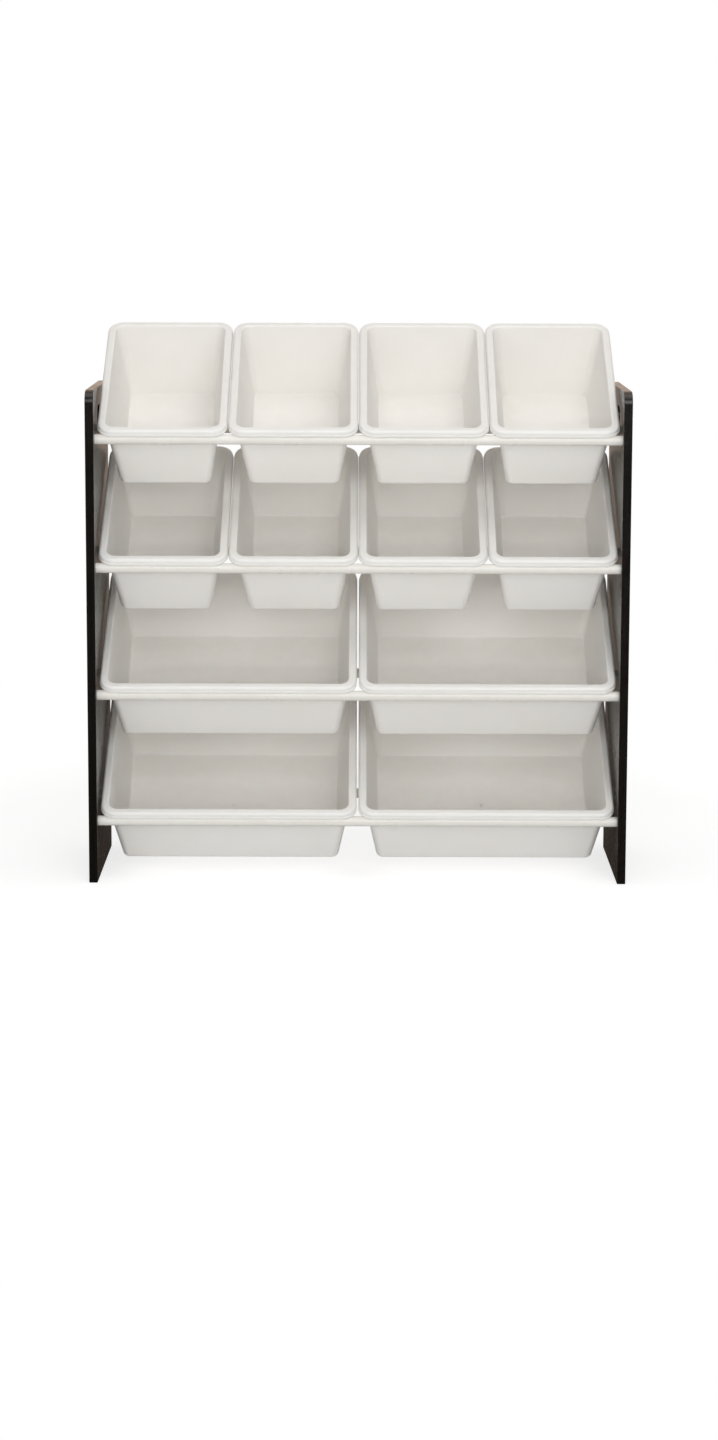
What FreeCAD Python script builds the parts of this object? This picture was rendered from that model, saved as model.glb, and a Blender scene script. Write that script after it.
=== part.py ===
import FreeCAD, Part
import math
import os

# Toy storage organizer: two upright side panels joined by four front and four rear rods.
# Each pair of rods is one tier. Open bins lie on it tilted towards the front: the hooked lip
# of a bin's front rim seats on the front rod, and its floor leans on the rear rod.
# Four small bins fill each of the two upper tiers and two large bins each of the lower two.
#
# Sizes are in millimetres. X runs across, Y from front to rear and Z up. The model is laid
# out with Y = 0 on the panels' front edges and moved at the end, so that the origin is under
# the middle of the whole organizer, on the floor.

# Side panels
PANEL_SPACING = 830.0
PANEL_THICKNESS = 13.5
PANEL_DEPTH = 267.0
PANEL_HEIGHT = 787.0
PANEL_TOP_RADIUS = 20.0
PANEL_FOOT_RADIUS = 3.0
PANEL_ARRIS = 0.8
FACE_LEVEL_TOLERANCE = 0.001

# Hand-hold slot through each panel
SLOT_LENGTH = 122.0
SLOT_HEIGHT = 33.0
SLOT_END_RADIUS = 16.0
SLOT_DROP = 46.0
SLOT_EASED_EDGE = 2.5

# Rods: thin steel tubes, one pair to a tier
ROD_DIAMETER = 16.0
ROD_WALL = 1.0
ROD_INSET = 23.4
LOWEST_ROD_HEIGHT = 97.0
TOP_ROD_DROP = 78.0

# Plugs pressed into the tube ends, for the screws to bite in
PLUG_LENGTH = 24.0
PLUG_CLEARANCE = 0.05

# Countersunk screws through the panels
SCREW_DIAMETER = 4.5
SCREW_LENGTH = 34.0
SCREW_HEAD_DIAMETER = 10.0
SCREW_TIP_LENGTH = 4.0
SCREW_TIP_DIAMETER = 1.0
SCREW_HOLE_CLEARANCE = 0.3
SCREW_SEAT_CLEARANCE = 0.05
FASTENER_SIDES = 8

# Bins
SMALL_BINS_PER_TIER = 4
LARGE_BINS_PER_TIER = 2
BIN_SIDE_GAP = 4.3
SMALL_BIN_GAP = 2.6
LARGE_BIN_GAP = 4.4
BIN_LENGTH = 305.0
BIN_HEIGHT = 127.0
BIN_WALL = 2.2
BIN_FLOOR = 2.6
BIN_DRAFT_DEGREES = 8.5
BIN_MOUTH_RADIUS = 19.0
BIN_BASE_RADIUS = 14.0
BIN_HEEL_RADIUS = 7.0
SEAT_CLEARANCE = 0.35

# Hooked rim of a bin: a flat flange, a rounded bead and a lip with a slightly proud lower band
RIM_FLANGE = 13.0
RIM_THICKNESS = 2.2
RIM_CORNER_RADIUS = 27.0
RIM_BEAD_RADIUS = 4.5
LIP_DEPTH = 11.0
LIP_BAND_HEIGHT = 4.0
LIP_BAND_STEP = 0.8

# Flat facets to a quarter turn of a bin's corner, and across its bead or heel
CORNER_FACETS = 4
ROUNDING_FACETS = 2

# Tiers from the top down, and which bins each holds
TIERS = (("top", "small"), ("second", "small"), ("third", "large"), ("bottom", "large"))
TIER_PITCH = (PANEL_HEIGHT - TOP_ROD_DROP - LOWEST_ROD_HEIGHT) / (len(TIERS) - 1)

# Seating of a bin on its rods. In the bin's own frame U runs along the rim from front to rear
# and V straight down into the bin from the rim's top face, both from the rim's front edge.
# The lip's lower edge lies across the front rod at the bin's two sides, and the front wall
# stops against the rod from behind, so the rod sits under the flange, inside the hooked rim.
DRAFT = math.tan(math.radians(BIN_DRAFT_DEGREES))
ROD_RADIUS = ROD_DIAMETER / 2
SEAT_RADIUS = ROD_RADIUS + SEAT_CLEARANCE
WALL_SETBACK = RIM_FLANGE - BIN_WALL
LIP_INNER_FACE = LIP_BAND_STEP + RIM_THICKNESS
SEAT_V = LIP_DEPTH + SEAT_RADIUS
SEAT_U = WALL_SETBACK + DRAFT * SEAT_V - SEAT_RADIUS * math.hypot(1, DRAFT)
ROD_SPAN = PANEL_DEPTH - 2 * ROD_INSET
TILT = math.asin((BIN_HEIGHT + SEAT_RADIUS - SEAT_V) / ROD_SPAN)
RIM_FRONT_Y = ROD_INSET - SEAT_U * math.cos(TILT) - SEAT_V * math.sin(TILT)
RIM_FRONT_RISE = SEAT_V * math.cos(TILT) - SEAT_U * math.sin(TILT)

X_AXIS = FreeCAD.Vector(1, 0, 0)
Z_AXIS = FreeCAD.Vector(0, 0, 1)


def tier_height(tier):
    """Return the height of a tier's rod axes; tier 0 is the top one."""
    return LOWEST_ROD_HEIGHT + TIER_PITCH * (len(TIERS) - 1 - tier)


def rounded_outline(width, length, radii):
    """Return a closed wire around a rectangle in XY, centred on the origin.

    radii are the corner radii at the low-Y end and at the high-Y end.
    """
    half_w, half_l = width / 2, length / 2
    low, high = radii
    corners = [(-1, -1, low, 180), (1, -1, low, 270), (1, 1, high, 0), (-1, 1, high, 90)]
    arcs = []
    for side, end, radius, start in corners:
        centre = FreeCAD.Vector(side * (half_w - radius), end * (half_l - radius), 0)
        circle = Part.Circle(centre, Z_AXIS, radius)
        arcs.append(Part.Arc(circle, math.radians(start), math.radians(start + 90)).toShape())
    sides = []
    for arc, following in zip(arcs, arcs[1:] + arcs[:1]):
        start = arc.valueAt(arc.LastParameter)
        end = following.valueAt(following.FirstParameter)
        sides.append(Part.makeLine(start, end))
    return Part.Wire(Part.__sortEdges__(arcs + sides))


def faceted_solid(outlines):
    """Return the solid between matching outlines, each a list of points, whose edges are parallel."""
    faces = []
    for outline in (outlines[0], outlines[-1]):
        faces.append(Part.Face(Part.makePolygon(outline + outline[:1])))
    for lower, upper in zip(outlines, outlines[1:]):
        for index in range(len(lower)):
            corners = [lower[index - 1], lower[index], upper[index], upper[index - 1], lower[index - 1]]
            faces.append(Part.Face(Part.makePolygon(corners)))
    return Part.Solid(Part.Shell(faces))


def faceted_outline(width, length, radius, level):
    """Return the points around a rectangle with faceted round corners."""
    points = []
    for quarter, (side, end) in enumerate(((1, 1), (-1, 1), (-1, -1), (1, -1))):
        for step in range(CORNER_FACETS + 1):
            angle = math.radians(90 * (quarter + step / CORNER_FACETS))
            x = side * (width / 2 - radius) + radius * math.cos(angle)
            y = end * (length / 2 - radius) + radius * math.sin(angle)
            points.append(FreeCAD.Vector(x, y, level))
    return points


def stacked_rings(width, rings):
    """Return the solid between outlines parallel to a bin's rim.

    Each ring is its distance in from the rim's edge, its depth below the rim's top and the
    radius of its corners.
    """
    outlines = []
    for inset, depth, radius in rings:
        outlines.append(faceted_outline(width - 2 * inset, BIN_LENGTH - 2 * inset, radius, -depth))
    return faceted_solid(outlines)


def rounding(radius, first_angle):
    """Return steps along a rounding that ends at a right angle: distances from its centre."""
    steps = []
    for facet in range(ROUNDING_FACETS + 1):
        angle = first_angle + (math.pi / 2 - first_angle) * facet / ROUNDING_FACETS
        steps.append((radius * math.cos(angle), radius * math.sin(angle)))
    return steps


def rim_ring(inset, depth):
    """Return a ring of the rim, whose corners are all concentric."""
    return inset, depth, RIM_CORNER_RADIUS - inset


def tapered_rings(setback, top, bottom, heel_radius):
    """Return the rings of a drafted bin surface from a level near the rim down round its heel."""
    corner_taper = (BIN_MOUTH_RADIUS - BIN_BASE_RADIUS) / BIN_HEIGHT
    heel_depth = bottom - heel_radius
    heel_inset = setback + DRAFT * heel_depth + heel_radius * math.hypot(1, DRAFT)
    wall_foot = BIN_MOUTH_RADIUS - corner_taper * heel_depth
    rings = [(setback + DRAFT * top, top, BIN_MOUTH_RADIUS - corner_taper * top)]
    for outward, downward in rounding(heel_radius, math.radians(BIN_DRAFT_DEGREES)):
        radius = wall_foot - heel_radius + outward
        rings.append((heel_inset - outward, heel_depth + downward, radius))
    return rings


def bin_shape(width):
    """Return one moulded bin of the given rim width, rim level, with its rim's front edge at Y = 0.

    Its drafted shell hangs from a hooked rim: flange, rounded bead, then a lip that is open
    underneath, so that the front rod enters between the lip and the front wall.
    """
    bead = [(LIP_BAND_STEP, LIP_DEPTH)]
    for outward, upward in rounding(RIM_BEAD_RADIUS, 0):
        bead.append((LIP_BAND_STEP + RIM_BEAD_RADIUS - outward, RIM_BEAD_RADIUS - upward))
    rim = stacked_rings(width, [rim_ring(*place) for place in bead])
    band_levels = (LIP_DEPTH, LIP_DEPTH - LIP_BAND_HEIGHT)
    band = stacked_rings(width, [rim_ring(0, depth) for depth in band_levels])
    hook_levels = (LIP_DEPTH + RIM_THICKNESS, RIM_THICKNESS)
    hook = stacked_rings(width, [rim_ring(LIP_INNER_FACE, depth) for depth in hook_levels])
    outside = tapered_rings(WALL_SETBACK, RIM_THICKNESS / 2, BIN_HEIGHT, BIN_HEEL_RADIUS)
    body = stacked_rings(width, outside)
    floor_depth = BIN_HEIGHT - BIN_FLOOR
    inside = tapered_rings(RIM_FLANGE, -RIM_THICKNESS, floor_depth, BIN_HEEL_RADIUS - BIN_WALL)
    cavity = stacked_rings(width, inside)
    shell = rim.fuse(band).cut(hook).fuse(body).cut(cavity).removeSplitter()
    shell.translate(FreeCAD.Vector(0, BIN_LENGTH / 2, 0))
    return shell.Solids[0]


def seated_bin(width, centre_x, tier):
    """Return a bin tilted onto a tier's rods."""
    shape = bin_shape(width)
    shape.rotate(FreeCAD.Vector(0, 0, 0), X_AXIS, math.degrees(TILT))
    shape.translate(FreeCAD.Vector(centre_x, RIM_FRONT_Y, tier_height(tier) + RIM_FRONT_RISE))
    return shape


def fastener_places():
    """Return Y and Z of every rod axis, front and rear, from the top tier down."""
    rows = (ROD_INSET, PANEL_DEPTH - ROD_INSET)
    return [(y, tier_height(tier)) for y in rows for tier in range(len(TIERS))]


def along_x(shape, side, x, y, z):
    """Turn a shape built along +Z to point inwards from one side, and put it in place."""
    shape.rotate(FreeCAD.Vector(0, 0, 0), FreeCAD.Vector(0, 1, 0), -90 * side)
    shape.translate(FreeCAD.Vector(x, y, z))
    return shape


def turned(steps):
    """Return a faceted solid round Z through the given radii and heights."""
    outlines = []
    for radius, height in steps:
        corners = []
        for side in range(FASTENER_SIDES):
            angle = 2 * math.pi * side / FASTENER_SIDES
            corners.append(FreeCAD.Vector(radius * math.cos(angle), radius * math.sin(angle), height))
        outlines.append(corners)
    return faceted_solid(outlines)


def countersunk(radius, head_radius):
    """Return a screw's form along +Z: flat head at Z = 0, 90 degree cone, shank and tip."""
    tip_start = SCREW_LENGTH - SCREW_TIP_LENGTH
    tip = (SCREW_TIP_DIAMETER / 2, SCREW_LENGTH)
    return turned([(head_radius, 0), (radius, head_radius - radius), (radius, tip_start), tip])


def slot_outline(growth, level):
    """Return the hand-hold slot's outline at a level, grown by a distance all round."""
    radius = SLOT_END_RADIUS + growth
    outline = rounded_outline(SLOT_LENGTH + 2 * growth, SLOT_HEIGHT + 2 * growth, (radius, radius))
    outline.translate(FreeCAD.Vector(0, PANEL_HEIGHT / 2 - SLOT_DROP, level))
    return outline


def slot_cutter():
    """Return the slot's form through a board that lies on Z = 0, flared at both faces."""
    flares = []
    for face, inward in ((0, 1), (PANEL_THICKNESS, -1)):
        eased = face + inward * SLOT_EASED_EDGE
        outlines = [slot_outline(SLOT_EASED_EDGE, face), slot_outline(0, eased)]
        outlines.append(slot_outline(0, PANEL_THICKNESS / 2))
        flares.append(Part.makeLoft(outlines, True, True))
    return flares[0].fuse(flares[1])


def side_panel(side):
    """Return one side panel: rounded top corners, hand-hold slot and countersunk screw holes."""
    outline = rounded_outline(PANEL_DEPTH, PANEL_HEIGHT, (PANEL_FOOT_RADIUS, PANEL_TOP_RADIUS))
    board = Part.Face(outline).extrude(Z_AXIS * PANEL_THICKNESS)
    rim_edges = [edge for edge in board.Edges if edge.BoundBox.ZLength < FACE_LEVEL_TOLERANCE]
    board = board.makeChamfer(PANEL_ARRIS, rim_edges).cut(slot_cutter())
    board.translate(FreeCAD.Vector(PANEL_DEPTH / 2, PANEL_HEIGHT / 2, 0))
    board.rotate(FreeCAD.Vector(0, 0, 0), FreeCAD.Vector(1, 1, 1), 120)
    inner_x = PANEL_SPACING / 2
    board.translate(FreeCAD.Vector(inner_x if side > 0 else -inner_x - PANEL_THICKNESS, 0, 0))
    hole_radius = SCREW_DIAMETER / 2 + SCREW_HOLE_CLEARANCE
    head_radius = SCREW_HEAD_DIAMETER / 2 + SCREW_SEAT_CLEARANCE
    outer_x = side * (inner_x + PANEL_THICKNESS)
    for y, z in fastener_places():
        hole = countersunk(hole_radius, head_radius)
        board = board.cut(along_x(hole, side, outer_x, y, z))
    return board.Solids[0]


def rod(y, z):
    """Return one tube that spans the clear width between the panels."""
    start = FreeCAD.Vector(-PANEL_SPACING / 2, y, z)
    outside = Part.makeCylinder(ROD_RADIUS, PANEL_SPACING, start, X_AXIS)
    bore = Part.makeCylinder(ROD_RADIUS - ROD_WALL, PANEL_SPACING, start, X_AXIS)
    return outside.cut(bore)


def end_plug(side, y, z):
    """Return one tube plug, flush with the tube's end, with the pilot hole that the screw bites in."""
    plug = turned([(ROD_RADIUS - ROD_WALL - PLUG_CLEARANCE, height) for height in (0, PLUG_LENGTH)])
    pilot = turned([(SCREW_DIAMETER / 2 + SCREW_SEAT_CLEARANCE, height) for height in (0, PLUG_LENGTH)])
    return along_x(plug.cut(pilot), side, side * PANEL_SPACING / 2, y, z)


def screw(side, y, z):
    """Return one countersunk screw, its head flush with the panel's outer face."""
    shape = countersunk(SCREW_DIAMETER / 2, SCREW_HEAD_DIAMETER / 2)
    return along_x(shape, side, side * (PANEL_SPACING / 2 + PANEL_THICKNESS), y, z)


def bin_row(tier_name, size):
    """Return the nodes of one tier's bins, from left to right, evenly spread between the panels."""
    count, gap = {
        "small": (SMALL_BINS_PER_TIER, SMALL_BIN_GAP),
        "large": (LARGE_BINS_PER_TIER, LARGE_BIN_GAP),
    }[size]
    tier = [name for name, _ in TIERS].index(tier_name)
    width = (PANEL_SPACING - 2 * BIN_SIDE_GAP - (count - 1) * gap) / count
    nodes = {}
    for place in range(count):
        centre_x = (place - (count - 1) / 2) * (width + gap)
        nodes[f"{size}_bin_{tier_name}_{place + 1}"] = seated_bin(width, centre_x, tier)
    return nodes


def organizer():
    """Return every node's name and shape."""
    nodes = {"left_side_panel": side_panel(-1), "right_side_panel": side_panel(1)}
    for row, y in (("front", ROD_INSET), ("rear", PANEL_DEPTH - ROD_INSET)):
        for tier, (tier_name, _) in enumerate(TIERS):
            z = tier_height(tier)
            nodes[f"{row}_rod_{tier_name}"] = rod(y, z)
            plugs = [end_plug(side, y, z) for side in (-1, 1)]
            nodes[f"{row}_rod_{tier_name}_end_plugs"] = Part.makeCompound(plugs)
    for side, name in ((-1, "left"), (1, "right")):
        screws = [screw(side, y, z) for y, z in fastener_places()]
        nodes[f"{name}_panel_screws"] = Part.makeCompound(screws)
    for tier_name, size in TIERS:
        nodes.update(bin_row(tier_name, size))
    return nodes


nodes = organizer()
overall_depth = max(shape.BoundBox.YMax for shape in nodes.values())
os.makedirs("parts", exist_ok=True)
for node_name, node_shape in nodes.items():
    node_shape.translate(FreeCAD.Vector(0, -overall_depth / 2, 0))
    node_shape.exportStep(os.path.join("parts", node_name + ".step"))
print(f"tilt {math.degrees(TILT):.2f} degrees, overall depth {overall_depth:.1f} mm")
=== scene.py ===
import logging
import math
from collections.abc import Iterable, Sequence
from dataclasses import dataclass
from enum import Enum

import bmesh
import bpy
from mathutils import Matrix, Vector


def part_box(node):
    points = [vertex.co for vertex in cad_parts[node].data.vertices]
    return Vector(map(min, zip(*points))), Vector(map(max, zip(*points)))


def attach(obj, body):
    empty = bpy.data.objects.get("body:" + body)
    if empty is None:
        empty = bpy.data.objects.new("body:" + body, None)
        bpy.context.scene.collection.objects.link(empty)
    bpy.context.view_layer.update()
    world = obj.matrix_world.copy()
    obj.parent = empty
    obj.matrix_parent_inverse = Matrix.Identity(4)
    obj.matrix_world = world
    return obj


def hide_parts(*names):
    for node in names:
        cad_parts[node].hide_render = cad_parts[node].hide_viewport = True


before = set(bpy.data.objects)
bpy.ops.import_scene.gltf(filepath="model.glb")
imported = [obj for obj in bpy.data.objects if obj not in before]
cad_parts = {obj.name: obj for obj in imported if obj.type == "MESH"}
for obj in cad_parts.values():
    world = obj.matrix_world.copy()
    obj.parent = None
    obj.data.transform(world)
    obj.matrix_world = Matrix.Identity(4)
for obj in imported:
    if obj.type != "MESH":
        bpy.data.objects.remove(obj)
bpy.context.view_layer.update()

log = logging.getLogger("organizer")

MM = 0.001
"""One millimetre in scene units."""

FRAME_BODY = "frame"
"""The body that the panels, rods, plugs and screws belong to."""

MOTTLE_RANGE = (0.2, 0.8)
"""The lowest and highest value that the mottle usually reaches."""

ON_EDGE = 1e-6
"""How near a point counts as lying on a line, in millimetres."""

Point = tuple[float, float]
Point3 = tuple[float, float, float]


class Side(Enum):
    """Left or right end of the organizer, as the sign of X."""

    LEFT = -1
    RIGHT = 1


class Row(Enum):
    """Front or rear row of rods."""

    FRONT = "front"
    REAR = "rear"


class Tier(Enum):
    """A pair of rods and the bins on it, from the top down."""

    TOP = "top"
    SECOND = "second"
    THIRD = "third"
    BOTTOM = "bottom"


# ---------------------------------------------------------------- node graphs


def linear(red: int, green: int, blue: int) -> tuple[float, float, float, float]:
    """Turn an 8-bit display colour into the scene's linear one.

    Args:
        red: Red, 0 to 255.
        green: Green, 0 to 255.
        blue: Blue, 0 to 255.

    Returns:
        Linear red, green, blue and an alpha of 1.
    """
    def channel(value: int) -> float:
        """Turn one channel's 8-bit value into its linear one."""
        share = value / 255
        return share / 12.92 if share <= 0.04045 else ((share + 0.055) / 1.055) ** 2.4

    return channel(red), channel(green), channel(blue), 1.0


class Graph:
    """A thin wrapper that adds and links shader nodes."""

    MIX_SHARE, MIX_FIRST, MIX_SECOND = 0, 6, 7
    """The inputs of a Mix node that mixes colours."""
    MIX_RESULT = 2
    """The output of a Mix node that mixes colours."""

    def __init__(self, tree: bpy.types.NodeTree) -> None:
        """Wrap a node tree and empty it."""
        self.tree = tree
        self.tree.nodes.clear()

    def add(self, kind: str, **settings: object) -> bpy.types.Node:
        """Add a node and set its properties.

        Args:
            kind: The node type's identifier.
            **settings: Properties to set on the node.

        Returns:
            The new node.
        """
        node = self.tree.nodes.new(kind)
        for name, value in settings.items():
            setattr(node, name, value)
        return node

    def link(self, source: bpy.types.NodeSocket, target: bpy.types.NodeSocket) -> None:
        """Link one socket to another."""
        self.tree.links.new(source, target)

    def feed(self, node: bpy.types.Node, socket: str | int, value: object) -> None:
        """Set an input socket, or link it when the value is a socket.

        Args:
            node: The node whose input is fed.
            socket: The input's name or index.
            value: A constant, or the output socket to link from.
        """
        if isinstance(value, bpy.types.NodeSocket):
            self.link(value, node.inputs[socket])
        else:
            node.inputs[socket].default_value = value

    def math(self, operation: str, first: object, second: object = 0.0) -> bpy.types.NodeSocket:
        """Combine two values.

        Args:
            operation: The Math node's operation.
            first: The first value or socket.
            second: The second value or socket.

        Returns:
            The result's socket.
        """
        node = self.add("ShaderNodeMath", operation=operation)
        self.feed(node, 0, first)
        self.feed(node, 1, second)
        return node.outputs[0]

    def plus(self, first: object, second: object) -> bpy.types.NodeSocket:
        """Add two values."""
        return self.math("ADD", first, second)

    def minus(self, first: object, second: object) -> bpy.types.NodeSocket:
        """Take the second value from the first."""
        return self.math("SUBTRACT", first, second)

    def times(self, first: object, second: object) -> bpy.types.NodeSocket:
        """Multiply two values."""
        return self.math("MULTIPLY", first, second)

    def object_place(self) -> bpy.types.NodeSocket:
        """Return the place on the object, in metres."""
        return self.add("ShaderNodeTexCoord").outputs["Object"]

    def split(self, vector: bpy.types.NodeSocket) -> bpy.types.Node:
        """Split a vector and return the node with its X, Y and Z.

        Args:
            vector: The vector's socket.

        Returns:
            The node, whose outputs are the three parts.
        """
        node = self.add("ShaderNodeSeparateXYZ")
        self.link(vector, node.inputs[0])
        return node

    def remap(self, value: object, low: object, high: object, to_low: object = 0.0,
              to_high: object = 1.0) -> bpy.types.NodeSocket:
        """Map a value from one range to another, clamped.

        Args:
            value: The value or socket to map.
            low: The value that becomes to_low.
            high: The value that becomes to_high.
            to_low: The result at low.
            to_high: The result at high.

        Returns:
            The mapped value's socket.
        """
        node = self.add("ShaderNodeMapRange")
        for name, part in (("Value", value), ("From Min", low), ("From Max", high),
                           ("To Min", to_low), ("To Max", to_high)):
            self.feed(node, name, part)
        return node.outputs["Result"]

    def mix(self, share: object, first: object, second: object) -> bpy.types.NodeSocket:
        """Mix two colours.

        Args:
            share: How much of the second colour shows.
            first: The colour at a share of 0.
            second: The colour at a share of 1.

        Returns:
            The mixed colour's socket.
        """
        node = self.add("ShaderNodeMix", data_type="RGBA")
        self.feed(node, self.MIX_SHARE, share)
        self.feed(node, self.MIX_FIRST, first)
        self.feed(node, self.MIX_SECOND, second)
        return node.outputs[self.MIX_RESULT]

    def noise(self, place: object, scale: object, detail: float, distortion: float = 0.0,
              roughness: float = 0.5) -> bpy.types.NodeSocket:
        """Add a noise texture.

        Args:
            place: Where on the surface the texture is read.
            scale: How often it repeats to a metre.
            detail: How many finer layers it has.
            distortion: How far it is warped.
            roughness: How strong the finer layers are.

        Returns:
            The texture's value, as a socket.
        """
        node = self.add("ShaderNodeTexNoise")
        for name, part in (("Vector", place), ("Scale", scale), ("Detail", detail),
                           ("Distortion", distortion), ("Roughness", roughness)):
            self.feed(node, name, part)
        return node.outputs["Fac"]


@dataclass(frozen=True)
class Socket:
    """One socket of a shader node group."""

    name: str
    kind: str = "NodeSocketFloat"
    value: object = None


GroupParts = tuple[Graph, bpy.types.Node, bpy.types.Node, bpy.types.NodeTree]


def new_group(name: str, inputs: Sequence[Socket], outputs: Sequence[Socket]) -> GroupParts:
    """Start a shader node group.

    Args:
        name: The group's name.
        inputs: Its input sockets, with their default values.
        outputs: Its output sockets.

    Returns:
        The group's graph, its input node, its output node and the group itself.
    """
    tree = bpy.data.node_groups.new(name, "ShaderNodeTree")
    graph = Graph(tree)
    for sockets, way in ((inputs, "INPUT"), (outputs, "OUTPUT")):
        for socket in sockets:
            made = tree.interface.new_socket(socket.name, in_out=way, socket_type=socket.kind)
            if socket.value is not None:
                made.default_value = socket.value
    return graph, graph.add("NodeGroupInput"), graph.add("NodeGroupOutput"), tree


class Effects:
    """The shader node groups that several finishes share, each built once."""

    def __init__(self) -> None:
        """Build every group."""
        self.mottle = self._mottle()
        self.fine_texture = self._fine_texture()
        self.scuffs = self._scuffs()
        self.dust = self._dust()
        self.handled_edges = self._handled_edges()

    @staticmethod
    def _mottle() -> bpy.types.NodeTree:
        """Build the slow cloudy change over a surface.

        Returns:
            The group, which puts out a value round 0.5.
        """
        graph, given, result, tree = new_group(
            "mottle",
            [Socket("Scale", value=18.0), Socket("Contrast", value=1.0)],
            [Socket("Value")],
        )
        finer_scale, broad_share, finer_share, middle = 5.3, 0.7, 0.3, 0.5
        place = graph.object_place()
        scale = given.outputs["Scale"]
        broad = graph.noise(place, scale, detail=3.0, distortion=0.4)
        finer = graph.noise(place, graph.times(scale, finer_scale), detail=2.0)
        both = graph.plus(graph.times(broad, broad_share), graph.times(finer, finer_share))
        centred = graph.times(graph.minus(both, middle), given.outputs["Contrast"])
        graph.link(graph.plus(centred, middle), result.inputs["Value"])
        return tree

    @staticmethod
    def _fine_texture() -> bpy.types.NodeTree:
        """Build the very fine unevenness of a moulded or sprayed surface.

        Returns:
            The group, which puts out a height.
        """
        graph, given, result, tree = new_group(
            "fine_texture",
            [Socket("Grain Size", value=0.8), Socket("Waviness", value=0.5)],
            [Socket("Height")],
        )
        waves_per_metre, wave_height = 26.0, 6.0
        place = graph.object_place()
        grains_per_metre = graph.math("DIVIDE", 1 / MM, given.outputs["Grain Size"])
        grain = graph.noise(place, grains_per_metre, detail=2.0, roughness=0.6)
        wave = graph.noise(place, waves_per_metre, detail=1.0)
        swell = graph.times(wave, given.outputs["Waviness"])
        graph.link(graph.plus(grain, graph.times(swell, wave_height)), result.inputs["Height"])
        return tree

    @staticmethod
    def _scuffs() -> bpy.types.NodeTree:
        """Build sparse hair-thin scratches in two directions.

        Returns:
            The group, which puts out a mask.
        """
        graph, given, result, tree = new_group(
            "scuffs",
            [Socket("Density", value=0.3), Socket("Scale", value=30.0)],
            [Socket("Mask")],
        )
        directions = ((0.5, 0.3, 0.9), (-0.7, 1.1, 0.2))
        stretch = (1.0, 14.0, 14.0)
        rarest, commoner, softness = 0.76, 0.1, 0.02
        place = graph.object_place()
        patches = graph.remap(graph.noise(place, 9.0, detail=2.0), 0.5, 0.7)
        masks = []
        for turn in directions:
            turned = graph.add("ShaderNodeMapping")
            graph.feed(turned, "Vector", place)
            graph.feed(turned, "Rotation", turn)
            graph.feed(turned, "Scale", stretch)
            lines = graph.noise(turned.outputs[0], given.outputs["Scale"], detail=4.0, distortion=0.2)
            threshold = graph.minus(rarest, graph.times(given.outputs["Density"], commoner))
            masks.append(graph.remap(lines, threshold, graph.plus(threshold, softness)))
        both = graph.math("MAXIMUM", *masks)
        graph.link(graph.times(both, patches), result.inputs["Mask"])
        return tree

    @staticmethod
    def _dust() -> bpy.types.NodeTree:
        """Build the dust that settles on what faces up.

        Returns:
            The group, which puts out a mask.
        """
        graph, given, result, tree = new_group(
            "settled_dust",
            [Socket("Amount", value=0.2)],
            [Socket("Mask")],
        )
        facing = graph.split(graph.add("ShaderNodeNewGeometry").outputs["Normal"])
        upward = graph.remap(facing.outputs["Z"], 0.55, 1.0)
        patchy = graph.noise(graph.object_place(), 42.0, detail=4.0, roughness=0.65)
        patch = graph.remap(patchy, 0.35, 0.75)
        mask = graph.times(graph.times(upward, patch), given.outputs["Amount"])
        graph.link(mask, result.inputs["Mask"])
        return tree

    @staticmethod
    def _handled_edges() -> bpy.types.NodeTree:
        """Build the broken wear of edges that hands polish or rub.

        Returns:
            The group, which puts out a mask.
        """
        graph, given, result, tree = new_group(
            "handled_edges",
            [Socket("Amount", value=0.5)],
            [Socket("Mask")],
        )
        geometry = graph.add("ShaderNodeNewGeometry")
        edge = graph.remap(geometry.outputs["Pointiness"], 0.52, 0.62)
        broken = graph.remap(graph.noise(graph.object_place(), 120.0, detail=3.0), 0.35, 0.6)
        mask = graph.times(graph.times(edge, broken), given.outputs["Amount"])
        graph.link(mask, result.inputs["Mask"])
        return tree


# ---------------------------------------------------------------- finishes


@dataclass
class Painter:
    """What every finish needs to make its material: the shared effects and a new graph."""

    effects: Effects

    def start(self, name: str) -> tuple[bpy.types.Material, Graph, bpy.types.Node]:
        """Make an empty material with a Principled shader on its output.

        Args:
            name: The material's name.

        Returns:
            The material, its graph and the shader node.
        """
        material = bpy.data.materials.new(name)
        material.use_nodes = True
        graph = Graph(material.node_tree)
        shader = graph.add("ShaderNodeBsdfPrincipled")
        output = graph.add("ShaderNodeOutputMaterial")
        graph.link(shader.outputs[0], output.inputs["Surface"])
        return material, graph, shader

    @staticmethod
    def effect(graph: Graph, tree: bpy.types.NodeTree, **values: float) -> bpy.types.NodeSocket:
        """Place a shared effect in a material.

        Args:
            graph: The material's graph.
            tree: The effect's node group.
            **values: Its inputs, with underscores for spaces.

        Returns:
            The effect's only output.
        """
        node = graph.add("ShaderNodeGroup", node_tree=tree)
        for name, value in values.items():
            node.inputs[name.replace("_", " ")].default_value = value
        return node.outputs[0]

    @staticmethod
    def bump(graph: Graph, shader: bpy.types.Node, height: bpy.types.NodeSocket, relief: float) -> None:
        """Feed a height into the shader's normal.

        Args:
            graph: The material's graph.
            shader: The shader node.
            height: The height's socket.
            relief: How far a height of 1 stands up, in millimetres.
        """
        node = graph.add("ShaderNodeBump")
        graph.feed(node, "Distance", relief * MM)
        graph.link(height, node.inputs["Height"])
        graph.link(node.outputs[0], shader.inputs["Normal"])


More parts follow.
